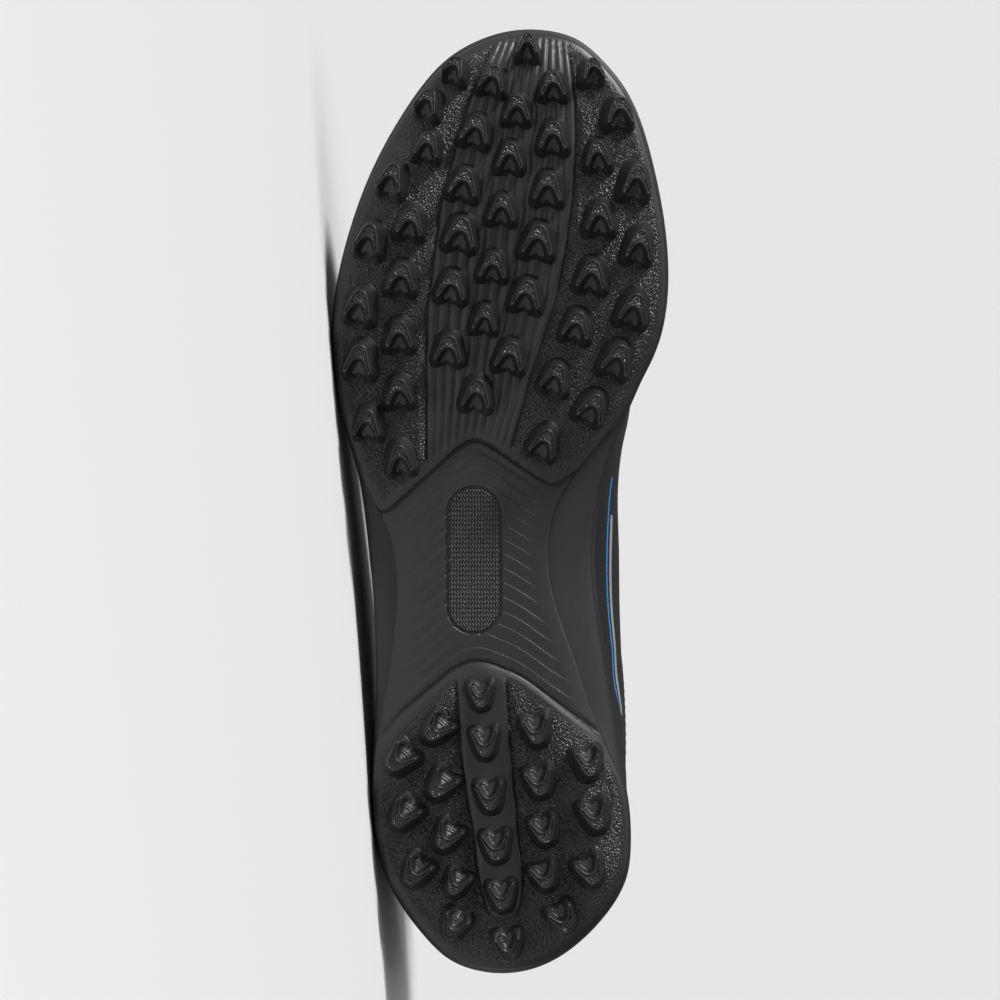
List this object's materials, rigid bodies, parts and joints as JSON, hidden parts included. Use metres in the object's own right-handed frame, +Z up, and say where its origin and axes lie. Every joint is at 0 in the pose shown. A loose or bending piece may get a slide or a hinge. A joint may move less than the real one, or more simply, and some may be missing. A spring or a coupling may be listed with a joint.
{
  "type": "turf shoe",
  "caption": "Low black football turf shoe lying on its side, with a studded rubber outsole, foam midsole, lace-up upper and padded tongue.",
  "frame": {"origin": "middle of the bounding box, on the floor that the shoe lies on", "axes": "+Z up from the floor, towards the shoe's medial side; +X towards the heel; -Y the way the sole faces"},
  "size_m": [0.2842, 0.1162, 0.1032],
  "materials": {
    "outsole": "moulded, satin",
    "midsole": "foam, matt",
    "upper": "coated textile, matt",
    "tongue": "padded textile",
    "insole": "cloth-covered foam",
    "laces": "woven"
  },
  "bodies": {
    "root": {"outsole": "outsole", "midsole": "midsole", "upper": "upper", "tongue": "tongue", "insole": "insole", "laces": "laces"}
  },
  "joints": []
}
